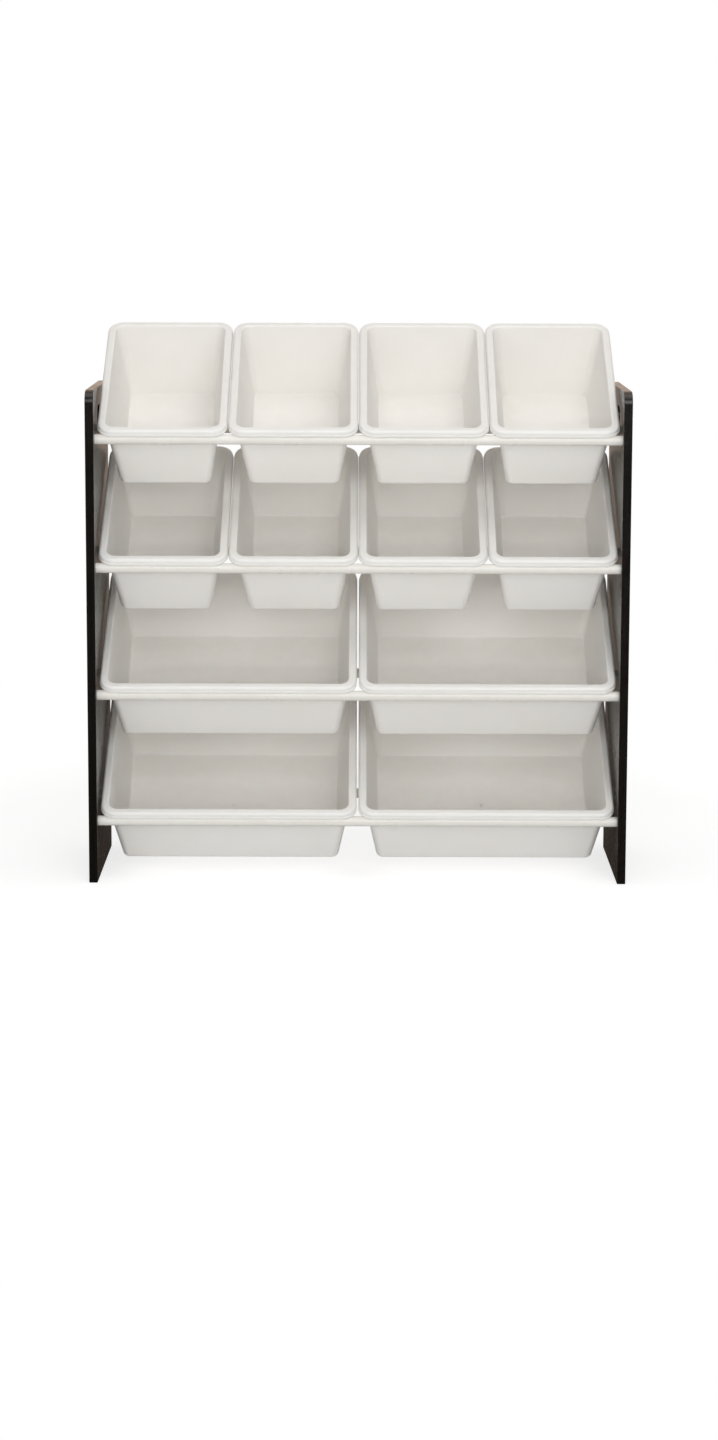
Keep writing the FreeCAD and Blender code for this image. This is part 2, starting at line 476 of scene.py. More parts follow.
@dataclass(frozen=True)
class MouldedPlastic:
    """Satin injection-moulded plastic of the bins: flow shading, fine texture, hair scuffs and dust."""

    name: str = "moulded_plastic"
    body: tuple[int, int, int] = (245, 243, 239)
    flow: tuple[int, int, int] = (241, 238, 233)
    scuff: tuple[int, int, int] = (221, 218, 212)
    low_gloss: float = 0.44
    high_gloss: float = 0.34
    refraction: float = 1.49
    translucency: float = 0.6
    scatter_length: float = 0.003
    scatter_tint: Point3 = (1.0, 0.95, 0.88)
    scuff_share: float = 0.45
    dulled: float = 0.18
    polished: float = 0.12
    relief: float = 0.03

    def material(self, painter: Painter) -> bpy.types.Material:
        """Make the bins' material.

        Args:
            painter: What makes a material and places the shared effects.

        Returns:
            The material.
        """
        material, graph, shader = painter.start(self.name)
        effects = painter.effects
        cloud = painter.effect(graph, effects.mottle, Scale=7.0, Contrast=1.6)
        colour = graph.mix(cloud, linear(*self.body), linear(*self.flow))
        scuffs = painter.effect(graph, effects.scuffs, Density=0.35, Scale=34.0)
        colour = graph.mix(graph.times(scuffs, self.scuff_share), colour, linear(*self.scuff))
        dust = painter.effect(graph, effects.dust, Amount=0.22)
        colour = graph.mix(dust, colour, linear(*self.scuff))
        graph.link(colour, shader.inputs["Base Color"])
        streaks = painter.effect(graph, effects.mottle, Scale=40.0, Contrast=1.4)
        rough = graph.remap(streaks, *MOTTLE_RANGE, self.high_gloss, self.low_gloss)
        rough = graph.plus(rough, graph.times(graph.plus(scuffs, dust), self.dulled))
        edges = painter.effect(graph, effects.handled_edges, Amount=0.5)
        rough = graph.minus(rough, graph.times(edges, self.polished))
        graph.link(rough, shader.inputs["Roughness"])
        fine = painter.effect(graph, effects.fine_texture, Grain_Size=0.9, Waviness=0.6)
        painter.bump(graph, shader, fine, self.relief)
        shader.inputs["IOR"].default_value = self.refraction
        shader.inputs["Subsurface Weight"].default_value = self.translucency
        shader.inputs["Subsurface Radius"].default_value = self.scatter_tint
        shader.inputs["Subsurface Scale"].default_value = self.scatter_length
        return material


@dataclass(frozen=True)
class DarkLaminate:
    """Dark board laminate of the side panels: fine upright grain, and painted shade that makes the edges
    round the board blacker than its faces.
    """

    name: str = "dark_laminate"
    ground: tuple[int, int, int] = (54, 50, 46)
    vein: tuple[int, int, int] = (40, 37, 34)
    streak: tuple[int, int, int] = (66, 61, 56)
    painted_edge_shade: tuple[int, int, int] = (19, 15, 12)
    painted_edge_shade_vein: tuple[int, int, int] = (12, 9, 7)
    rubbed: tuple[int, int, int] = (66, 57, 50)
    dusty: tuple[int, int, int] = (86, 76, 66)
    grain_stretch: Point3 = (1.0, 1.0, 0.035)
    streak_share: float = 0.55
    low_gloss: float = 0.3
    high_gloss: float = 0.2
    dulled: float = 0.16
    vein_height: float = 0.6
    pore_depth: float = 0.8
    relief: float = 0.05

    def material(self, painter: Painter) -> bpy.types.Material:
        """Make the panels' material.

        Args:
            painter: What makes a material and places the shared effects.

        Returns:
            The material.
        """
        material, graph, shader = painter.start(self.name)
        effects = painter.effects
        upright = graph.add("ShaderNodeMapping")
        graph.feed(upright, "Vector", graph.object_place())
        graph.feed(upright, "Scale", self.grain_stretch)
        along = upright.outputs[0]
        veins = graph.noise(along, 260.0, detail=6.0, distortion=0.6, roughness=0.62)
        broad = graph.noise(along, 34.0, detail=3.0, distortion=1.4)
        pores = graph.remap(graph.noise(along, 900.0, detail=2.0), 0.6, 0.7)
        veined = graph.remap(veins, 0.38, 0.62)
        streaked = graph.remap(broad, 0.48, 0.72, 0.0, self.streak_share)
        colour = graph.mix(veined, linear(*self.ground), linear(*self.vein))
        colour = graph.mix(streaked, colour, linear(*self.streak))
        # Painted shade: the edges round the board, whose normals do not point along X, get a near-black
        # colour in place of the board's grain colour, standing in for the shade they show.
        facing = graph.split(graph.add("ShaderNodeTexCoord").outputs["Normal"])
        board = graph.remap(graph.math("ABSOLUTE", facing.outputs["X"]), 0.75, 0.95)
        edge_shade_colour = graph.mix(veined, linear(*self.painted_edge_shade), linear(*self.painted_edge_shade_vein))
        colour = graph.mix(board, edge_shade_colour, colour)
        edges = painter.effect(graph, effects.handled_edges, Amount=0.55)
        colour = graph.mix(edges, colour, linear(*self.rubbed))
        dust = painter.effect(graph, effects.dust, Amount=0.35)
        colour = graph.mix(dust, colour, linear(*self.dusty))
        graph.link(colour, shader.inputs["Base Color"])
        cloud = painter.effect(graph, effects.mottle, Scale=16.0, Contrast=1.5)
        rough = graph.remap(cloud, *MOTTLE_RANGE, self.high_gloss, self.low_gloss)
        scuffs = painter.effect(graph, effects.scuffs, Density=0.4, Scale=26.0)
        rough = graph.plus(rough, graph.times(graph.plus(scuffs, dust), self.dulled))
        graph.link(rough, shader.inputs["Roughness"])
        height = graph.minus(graph.times(veins, self.vein_height), graph.times(pores, self.pore_depth))
        painter.bump(graph, shader, height, self.relief)
        return material


@dataclass(frozen=True)
class WhitePaint:
    """Semi-gloss white powder coat of the rods, with faint orange peel."""

    name: str = "white_powder_coat"
    coat: tuple[int, int, int] = (238, 236, 230)
    thin: tuple[int, int, int] = (226, 223, 215)
    rubbed: tuple[int, int, int] = (205, 202, 195)
    low_gloss: float = 0.34
    high_gloss: float = 0.24
    scuff_share: float = 0.5
    dulled: float = 0.2
    relief: float = 0.06
    clear_coat: float = 0.25
    clear_coat_roughness: float = 0.2

    def material(self, painter: Painter) -> bpy.types.Material:
        """Make the rods' material.

        Args:
            painter: What makes a material and places the shared effects.

        Returns:
            The material.
        """
        material, graph, shader = painter.start(self.name)
        effects = painter.effects
        cloud = painter.effect(graph, effects.mottle, Scale=28.0, Contrast=1.4)
        colour = graph.mix(cloud, linear(*self.coat), linear(*self.thin))
        scuffs = painter.effect(graph, effects.scuffs, Density=0.6, Scale=40.0)
        colour = graph.mix(graph.times(scuffs, self.scuff_share), colour, linear(*self.rubbed))
        graph.link(colour, shader.inputs["Base Color"])
        rough = graph.remap(cloud, *MOTTLE_RANGE, self.high_gloss, self.low_gloss)
        graph.link(graph.plus(rough, graph.times(scuffs, self.dulled)), shader.inputs["Roughness"])
        peel = painter.effect(graph, effects.fine_texture, Grain_Size=2.2, Waviness=0.3)
        painter.bump(graph, shader, peel, self.relief)
        shader.inputs["Coat Roughness"].default_value = self.clear_coat_roughness
        shader.inputs["Coat Weight"].default_value = self.clear_coat
        return material


@dataclass(frozen=True)
class CloudedFinish:
    """A plain finish of two close colours in slow clouds, for the small parts."""

    name: str
    body: tuple[int, int, int]
    clouded: tuple[int, int, int]
    cloud_scale: float
    cloud_contrast: float
    high_gloss: float
    low_gloss: float
    metallic: float
    grain_size: float
    waviness: float
    relief: float

    def material(self, painter: Painter) -> bpy.types.Material:
        """Make the finish's material.

        Args:
            painter: What makes a material and places the shared effects.

        Returns:
            The material.
        """
        material, graph, shader = painter.start(self.name)
        effects = painter.effects
        cloud = painter.effect(graph, effects.mottle, Scale=self.cloud_scale, Contrast=self.cloud_contrast)
        colour = graph.mix(cloud, linear(*self.body), linear(*self.clouded))
        graph.link(colour, shader.inputs["Base Color"])
        rough = graph.remap(cloud, *MOTTLE_RANGE, self.high_gloss, self.low_gloss)
        graph.link(rough, shader.inputs["Roughness"])
        shader.inputs["Metallic"].default_value = self.metallic
        fine = painter.effect(graph, effects.fine_texture, Grain_Size=self.grain_size, Waviness=self.waviness)
        painter.bump(graph, shader, fine, self.relief)
        return material


ZINC_PLATE = CloudedFinish(
    name="zinc_plate", body=(196, 195, 190), clouded=(158, 157, 154), cloud_scale=320.0,
    cloud_contrast=1.8, high_gloss=0.28, low_gloss=0.45, metallic=1.0, grain_size=0.35,
    waviness=0.1, relief=0.02,
)
"""Zinc-plated steel of the screws, turned and a little dulled."""

PLUG_PLASTIC = CloudedFinish(
    name="plug_plastic", body=(214, 213, 208), clouded=(196, 194, 188), cloud_scale=90.0,
    cloud_contrast=1.5, high_gloss=0.5, low_gloss=0.62, metallic=0.0, grain_size=0.5,
    waviness=0.2, relief=0.04,
)
"""Matt plastic of the end plugs inside the tubes."""


# ---------------------------------------------------------------- mesh tools


@dataclass(frozen=True)
class Turn:
    """One corner of a bin's section: how far in from the rim's edge, how deep, and its roundings."""

    inset: float
    depth: float
    fillet: float
    plan_radius: float


@dataclass(frozen=True)
class Ring:
    """One closed outline round a bin: its distance in from the rim's edge, depth and corner radius."""

    inset: float
    depth: float
    plan_radius: float


def rounded_section(turns: Sequence[Turn], steps: int) -> list[Ring]:
    """Round the corners of an open section and return it as rings.

    Args:
        turns: The section's corners in order; the first and last are its ends.
        steps: Facets to each rounding.

    Returns:
        The rings, one to each point of the rounded section.
    """
    rings = [Ring(turns[0].inset, turns[0].depth, turns[0].plan_radius)]
    for before, here, after in zip(turns, turns[1:], turns[2:]):
        corner = Vector((here.inset, here.depth))
        ways = [Vector((end.inset, end.depth)) - corner for end in (before, after)]
        half = ways[0].angle(ways[1]) / 2
        reach = here.fillet / math.tan(half)
        tangents = [corner + way.normalized() * reach for way in ways]
        radii = [here.plan_radius + (end.plan_radius - here.plan_radius) * reach / way.length
                 for end, way in zip((before, after), ways)]
        inward = (ways[0].normalized() + ways[1].normalized()).normalized()
        centre = corner + inward * here.fillet / math.sin(half)
        start, end = tangents[0] - centre, tangents[1] - centre
        sweep = start.angle_signed(end)
        for step in range(steps + 1):
            share = step / steps
            point = centre + Matrix.Rotation(-sweep * share, 2) @ start
            rings.append(Ring(point.x, point.y, radii[0] + (radii[1] - radii[0]) * share))
    rings.append(Ring(turns[-1].inset, turns[-1].depth, turns[-1].plan_radius))
    return rings


def outline(width: float, length: float, radius: float, corner_steps: int, side_steps: int) -> list[Point]:
    """Return points round a rounded rectangle, centred on the origin, with evenly divided sides.

    Args:
        width: Its extent along the first axis.
        length: Its extent along the second axis.
        radius: Its corner radius.
        corner_steps: Facets to a corner.
        side_steps: Divisions of a side.

    Returns:
        The points, anticlockwise, the same number whatever the sizes.
    """
    half_w, half_l = width / 2, length / 2
    radius = min(radius, half_w, half_l)
    corners = [(1, -1, -90.0), (1, 1, 0.0), (-1, 1, 90.0), (-1, -1, 180.0)]
    arcs = []
    for side, end, first in corners:
        cx, cy = side * (half_w - radius), end * (half_l - radius)
        angles = [math.radians(first + 90.0 * step / corner_steps) for step in range(corner_steps + 1)]
        arcs.append([(cx + radius * math.cos(a), cy + radius * math.sin(a)) for a in angles])
    points: list[Point] = []
    for arc, following in zip(arcs, arcs[1:] + arcs[:1]):
        points.extend(arc)
        (x0, y0), (x1, y1) = arc[-1], following[0]
        for step in range(1, side_steps):
            share = step / side_steps
            points.append((x0 + (x1 - x0) * share, y0 + (y1 - y0) * share))
    return points


def bridge(mesh: bmesh.types.BMesh, loops: Sequence[Sequence[bmesh.types.BMVert]]) -> None:
    """Join each loop of vertices to the next with a band of faces.

    Args:
        mesh: The mesh that holds the vertices.
        loops: The loops in order, all with the same number of vertices.
    """
    for lower, upper in zip(loops, loops[1:]):
        count = len(lower)
        for index in range(count):
            after = (index + 1) % count
            mesh.faces.new((lower[index], lower[after], upper[after], upper[index]))


def close_flat(mesh: bmesh.types.BMesh, loop: Sequence[bmesh.types.BMVert]) -> None:
    """Close a flat loop of vertices with one face.

    Args:
        mesh: The mesh that holds the vertices.
        loop: The loop, whose edges are there already.
    """
    edges = [mesh.edges.get(pair) for pair in zip(loop, [*loop[1:], loop[0]])]
    bmesh.ops.contextual_create(mesh, geom=edges)


def finish_mesh(mesh: bmesh.types.BMesh, name: str, place: Matrix) -> bpy.types.Object:
    """Turn a bmesh into a smooth-shaded object whose place is in its vertices.

    Args:
        mesh: The mesh; it is freed.
        name: The object's name.
        place: Where the mesh goes in the scene.

    Returns:
        The new object.
    """
    mesh.transform(place)
    bmesh.ops.recalc_face_normals(mesh, faces=mesh.faces)
    data = bpy.data.meshes.new(name)
    mesh.to_mesh(data)
    mesh.free()
    data.shade_smooth()
    piece = bpy.data.objects.new(name, data)
    bpy.context.collection.objects.link(piece)
    shading = piece.modifiers.new("even_shading", "WEIGHTED_NORMAL")
    shading.keep_sharp = True
    shading.weight = 80
    return piece


def revolve(mesh: bmesh.types.BMesh, section: Sequence[Point], sides: int, closed: bool = True) -> None:
    """Add a solid of revolution about X.

    Args:
        mesh: The mesh to add to.
        section: Points as distance along X and radius; a radius of 0 closes an end.
        sides: Facets round the axis.
        closed: Whether the section's last point joins its first.
    """
    loops = []
    for along, radius in section:
        if radius <= 0:
            loops.append([mesh.verts.new((along, 0, 0))])
            continue
        angles = [math.tau * step / sides for step in range(sides)]
        loops.append([mesh.verts.new((along, radius * math.cos(a), radius * math.sin(a))) for a in angles])
    pairs = list(zip(loops, loops[1:]))
    if closed:
        pairs.append((loops[-1], loops[0]))
    for first, second in pairs:
        for index in range(sides):
            after = (index + 1) % sides
            corners = [first[index % len(first)], first[after % len(first)],
                       second[after % len(second)], second[index % len(second)]]
            unique = list(dict.fromkeys(corners))
            if len(unique) > 2:
                mesh.faces.new(unique)


# ---------------------------------------------------------------- the object


@dataclass(frozen=True)
class RodPlan:
    """Where the rods run, read from the CAD frame, in metres."""

    radius: float
    front_y: float
    rear_y: float
    heights: dict[Tier, float]
    half_span: float

    @classmethod
    def from_frame(cls) -> "RodPlan":
        """Read the rods' places from the frame.

        Returns:
            The plan.
        """
        heights = {}
        for tier in Tier:
            low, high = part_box(f"front_rod_{tier.value}")
            heights[tier] = (low[2] + high[2]) / 2
        rear_low, rear_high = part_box("rear_rod_top")
        return cls(
            radius=(high[1] - low[1]) / 2,
            front_y=(low[1] + high[1]) / 2,
            rear_y=(rear_low[1] + rear_high[1]) / 2,
            heights=heights,
            half_span=high[0],
        )


@dataclass(frozen=True)
class BinMould:
    """The moulded bin, in millimetres, measured from its rim's front top edge."""

    length: float = 305.0
    height: float = 127.0
    wall: float = 2.2
    floor: float = 2.6
    draft_degrees: float = 8.5
    flange: float = 13.0
    rim_thickness: float = 2.2
    lip_depth: float = 11.0
    band_height: float = 4.0
    band_step: float = 0.8
    bead_radius: float = 4.5
    rim_corner: float = 24.5
    mouth_corner: float = 14.0
    base_corner: float = 13.0
    inner_base_corner: float = 10.0
    foot_reach: float = 0.9
    heel: float = 7.0
    inner_heel: float = 3.2
    under_rim_round: float = 1.6
    lip_root_round: float = 1.2
    lip_round: float = 0.8
    band_round: float = 0.56
    band_root_round: float = 0.24
    mouth_round: float = 2.4
    least_corner: float = 0.5
    seat_gap: float = 0.35
    wall_bow: float = 1.0
    gate_radius: float = 3.2
    gate_height: float = 0.7
    gate_sides: int = 20
    corner_steps: int = 10
    side_steps: int = 12
    fillet_steps: int = 5

    @property
    def draft(self) -> float:
        """How far a wall runs in for each unit of depth."""
        return math.tan(math.radians(self.draft_degrees))

    def seat(self, rod_radius: float) -> Point:
        """Work out how the bin sits on its front rod.

        Args:
            rod_radius: The rod's radius in millimetres.

        Returns:
            How far the rod's axis lies behind and below the rim's front top edge.
        """
        reach = rod_radius + self.seat_gap
        below = self.lip_depth + reach
        behind = self.flange - self.wall + self.draft * below - reach * math.hypot(1, self.draft)
        return behind, below

    def tilt(self, rods: RodPlan) -> float:
        """Work out the angle at which the bin lies on a pair of rods.

        Args:
            rods: Where the rods run.

        Returns:
            The angle in radians.
        """
        radius = rods.radius / MM
        drop = self.height + radius + self.seat_gap - self.seat(radius)[1]
        return math.asin(drop / ((rods.rear_y - rods.front_y) / MM))

    def section(self) -> list[Ring]:
        """Draw the bin's whole section, from its underside round the lip and down to its floor.

        Returns:
            The section's rings in order.
        """
        set_back = self.flange - self.wall
        lip_inner = self.band_step + self.rim_thickness
        band_top = self.lip_depth - self.band_height
        cavity_depth = self.height - self.floor
        outer_step = self.base_corner * self.foot_reach
        inner_step = self.inner_base_corner * self.foot_reach
        outer_foot = set_back + self.draft * self.height
        inner_foot = self.flange + self.draft * cavity_depth
        under_rim = set_back + self.draft * self.rim_thickness
        lip_corner = self.rim_corner - lip_inner
        turns = [
            Turn(outer_foot + outer_step, self.height, 0, self.base_corner - outer_step),
            Turn(outer_foot, self.height, self.heel, self.base_corner),
            Turn(under_rim, self.rim_thickness, self.under_rim_round, self.mouth_corner),
            Turn(lip_inner, self.rim_thickness, self.lip_root_round, lip_corner),
            Turn(lip_inner, self.lip_depth, self.lip_round, lip_corner),
            Turn(0, self.lip_depth, self.lip_round, self.rim_corner),
            Turn(0, band_top, self.band_round, self.rim_corner),
            Turn(self.band_step, band_top, self.band_root_round, self.rim_corner),
            Turn(self.band_step, 0, self.bead_radius, self.rim_corner),
            Turn(self.flange, 0, self.mouth_round, self.mouth_corner),
            Turn(inner_foot, cavity_depth, self.inner_heel, self.inner_base_corner),
            Turn(inner_foot + inner_step, cavity_depth, 0, self.inner_base_corner - inner_step),
        ]
        return rounded_section(turns, self.fillet_steps)

    def bowed(self, point: Point, width: float, depth: float, inset: float) -> Point:
        """Draw a wall's middle in a little, as a cooled moulding's walls are.

        Args:
            point: A point of a ring, from the bin's middle.
            width: The bin's width.
            depth: The ring's depth below the rim.
            inset: The ring's distance in from the rim's edge.

        Returns:
            The point as it lies on the real moulding.
        """
        if inset < self.flange - self.wall or inset > self.flange + self.draft * self.height:
            return point
        pull = self.wall_bow * math.sin(math.pi * min(max(depth / self.height, 0), 1))
        x, y = point
        half_w, half_l = width / 2 - inset, self.length / 2 - inset
        on_side = abs(abs(x) - half_w) < ON_EDGE
        on_end = abs(abs(y) - half_l) < ON_EDGE
        if on_side:
            x -= math.copysign(pull * math.cos(math.pi / 2 * y / half_l) ** 2, x)
        if on_end:
            y -= math.copysign(pull * math.cos(math.pi / 2 * x / half_w) ** 2, y)
        return x, y

    def mesh(self, width: float) -> bmesh.types.BMesh:
        """Build the bin level, centred across, with its rim's front top edge on the X axis.

        Args:
            width: The rim's width in millimetres.

        Returns:
            The mesh in millimetres.
        """
        mesh = bmesh.new()
        loops = []
        for ring in self.section():
            points = outline(width - 2 * ring.inset, self.length - 2 * ring.inset,
                             max(ring.plan_radius, self.least_corner), self.corner_steps, self.side_steps)
            points = [self.bowed(point, width, ring.depth, ring.inset) for point in points]
            loops.append([mesh.verts.new((x, y + self.length / 2, -ring.depth)) for x, y in points])
        bridge(mesh, loops)
        for loop in (loops[0], loops[-1]):
            close_flat(mesh, loop)
        self.gate_mark(mesh)
        return mesh

    def gate_mark(self, mesh: bmesh.types.BMesh) -> None:
        """Add the small raised spot that the mould's gate leaves in the middle of the floor.

        Args:
            mesh: The bin's mesh, in millimetres.
        """
        base, rise, radius = self.floor - self.height, self.gate_height, self.gate_radius
        shoulder, nib = base + rise * 0.4, base + rise * 1.3
        section = [(base - rise, 0.0), (base - rise, radius), (shoulder, radius), (base + rise, radius * 0.7),
                   (base + rise, radius * 0.3), (nib, radius * 0.2), (nib, 0.0)]
        spot = bmesh.new()
        revolve(spot, section, self.gate_sides, closed=False)
        upright = Matrix.Rotation(math.radians(-90), 4, "Y")
        spot.transform(Matrix.Translation((0, self.length / 2, 0)) @ upright)
        scratch = bpy.data.meshes.new("gate_mark")
        spot.to_mesh(scratch)
        spot.free()
        mesh.from_mesh(scratch)
        bpy.data.meshes.remove(scratch)


@dataclass
class BinRow:
    """The bins of one tier, seated on its two rods."""

    tier: Tier
    size: str
    count: int
    mould: BinMould
    rods: RodPlan
    material: bpy.types.Material
    rim_spread: float = 0.9

    def build(self) -> None:
        """Build and dress every bin of the tier."""
        tilt = self.mould.tilt(self.rods)
        behind, below = (part * MM for part in self.mould.seat(self.rods.radius / MM))
        rim_y = self.rods.front_y - behind * math.cos(tilt) - below * math.sin(tilt)
        rim_z = self.rods.heights[self.tier] + below * math.cos(tilt) - behind * math.sin(tilt)
        for number in range(1, self.count + 1):
            node = f"{self.size}_bin_{self.tier.value}_{number}"
            low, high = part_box(node)
            place = Matrix.Translation(((low[0] + high[0]) / 2, rim_y, rim_z))
            place = place @ Matrix.Rotation(tilt, 4, "X") @ Matrix.Scale(MM, 4)
            width = (high[0] - low[0]) / MM + 2 * self.rim_spread
            piece = finish_mesh(self.mould.mesh(width), f"{node}_shell", place)
            piece.data.materials.append(self.material)
            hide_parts(node)
            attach(piece, node)
            log.info("bin %s", node)


@dataclass
class SidePanel:
    """One board with rounded top corners, a hand-hold slot and screw holes, in millimetres."""

    side: Side
    rods: RodPlan
    material: bpy.types.Material
    top_radius: float = 20.0
    foot_radius: float = 3.0
    slot_length: float = 122.0
    slot_height: float = 33.0
    slot_drop: float = 46.0
    slot_flat: float = 0.01
    edge_round: float = 1.3
    edge_steps: int = 3
    screw_hole_radius: float = 5.05
    weld: float = 0.001
    steps: int = 8

    def build(self) -> None:
        """Build and dress the panel."""
        node = f"{self.side.name.lower()}_side_panel"
        low, high = (Vector(corner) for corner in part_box(node))
        centre = (low + high) / 2
        mesh = self.board(node, centre, high - low)
        place = Matrix.Translation(centre) @ Matrix.Scale(MM, 4) @ self.upright()
        piece = finish_mesh(mesh, node + "_board", place)
        piece.data.materials.append(self.material)
        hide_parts(node)
        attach(piece, FRAME_BODY)
        log.info("panel %s", node)

    def board(self, name: str, centre: Vector, size: Vector) -> bmesh.types.BMesh:
        """Build the board lying flat, with its slot, screw holes and rounded edges.

        Args:
            name: The name for the outline.
            centre: The board's centre in the scene, in metres.
            size: The board's size in the scene, in metres.

        Returns:
            The mesh in millimetres, with its depth along X and its height along Y.
        """
        thickness, depth, height = (part / MM for part in size)
        curve = bpy.data.curves.new(name, "CURVE")
        curve.dimensions = "2D"
        curve.fill_mode = "BOTH"
        self.add_outline(curve, self.body_outline(depth, height), True)
        self.add_outline(curve, self.slot_outline(height), False)
        for y in (self.rods.front_y, self.rods.rear_y):
            for level in self.rods.heights.values():
                middle = ((y - centre.y) / MM, (level - centre.z) / MM)
                self.add_outline(curve, self.circle(middle, self.screw_hole_radius), False)
        curve.extrude = thickness / 2 - self.edge_round
        curve.bevel_depth = self.edge_round
        curve.bevel_resolution = self.edge_steps
        curve.offset = -self.edge_round
        flat = bpy.data.objects.new(name + "_outline", curve)
        bpy.context.collection.objects.link(flat)
        shape = bpy.data.meshes.new_from_object(flat.evaluated_get(bpy.context.evaluated_depsgraph_get()))
        bpy.data.objects.remove(flat)
        mesh = bmesh.new()
        mesh.from_mesh(shape)
        bpy.data.meshes.remove(shape)
        bmesh.ops.remove_doubles(mesh, verts=mesh.verts, dist=self.weld)
        return mesh

    @staticmethod
    def upright() -> Matrix:
        """Return the turn that stands a flat board up: X becomes Y, Y becomes Z and Z becomes X."""
        return Matrix(((0, 0, 1, 0), (1, 0, 0, 0), (0, 1, 0, 0), (0, 0, 0, 1)))

    def slot_outline(self, height: float) -> list[Point]:
        """Draw the hand-hold slot.

        Args:
            height: The board's height in millimetres.

        Returns:
            Points round the slot, from the board's middle.
        """
        radius = self.slot_height / 2 - self.slot_flat
        points = outline(self.slot_length, self.slot_height, radius, 3 * self.steps, 2)
        return [(x, y + height / 2 - self.slot_drop) for x, y in points]

    def body_outline(self, depth: float, height: float) -> list[Point]:
        """Draw the board, with large corners at the top and small ones at the foot.

        Args:
            depth: The board's depth in millimetres.
            height: The board's height in millimetres.

        Returns:
            Points round the board, from its middle.
        """
        points = outline(depth, height, self.top_radius, self.steps, 1)
        foot = outline(depth, height, self.foot_radius, self.steps, 1)
        return [low if high[1] < 0 else high for high, low in zip(points, foot)]

    def circle(self, centre: Point, radius: float) -> list[Point]:
        """Draw a circle.

        Args:
            centre: Its centre.
            radius: Its radius.

        Returns:
            Points round the circle.
        """
        sides = 4 * self.steps
        angles = [math.tau * step / sides for step in range(sides)]
        return [(centre[0] + radius * math.cos(a), centre[1] + radius * math.sin(a)) for a in angles]

    @staticmethod
    def add_outline(curve: bpy.types.Curve, points: Sequence[Point], outer: bool) -> None:
        """Add a closed outline to a flat curve: anticlockwise outside, clockwise for a hole.

        Args:
            curve: The curve to add to.
            points: The outline's points, anticlockwise.
            outer: Whether it is the outside and not a hole.
        """
        spline = curve.splines.new("POLY")
        spline.points.add(len(points) - 1)
        for target, (x, y) in zip(spline.points, points if outer else reversed(points)):
            target.co = (x, y, 0, 1)
        spline.use_cyclic_u = True


@dataclass
class Rod:
    """One painted tube between the panels, in millimetres."""

    row: Row
    tier: Tier
    rods: RodPlan
    material: bpy.types.Material
    wall: float = 1.0
    end_round: float = 0.35
    stations: int = 24
    sides: int = 48

    def build(self) -> None:
        """Build and dress the tube."""
        node = f"{self.row.value}_rod_{self.tier.value}"
        radius, half = self.rods.radius / MM, self.rods.half_span / MM
        inner = radius - self.wall
        flat = half - self.end_round
        outer = [(-flat + 2 * flat * step / self.stations, radius) for step in range(self.stations + 1)]
        section = [(-half, radius - self.end_round), *outer, (half, radius - self.end_round),
                   (half, inner), (-half, inner)]
        mesh = bmesh.new()
        revolve(mesh, section, self.sides)
        y = self.rods.front_y if self.row is Row.FRONT else self.rods.rear_y
        place = Matrix.Translation((0, y, self.rods.heights[self.tier])) @ Matrix.Scale(MM, 4)
        piece = finish_mesh(mesh, node + "_tube", place)
        piece.data.materials.append(self.material)
        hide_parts(node)
        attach(piece, FRAME_BODY)
        log.info("rod %s", node)


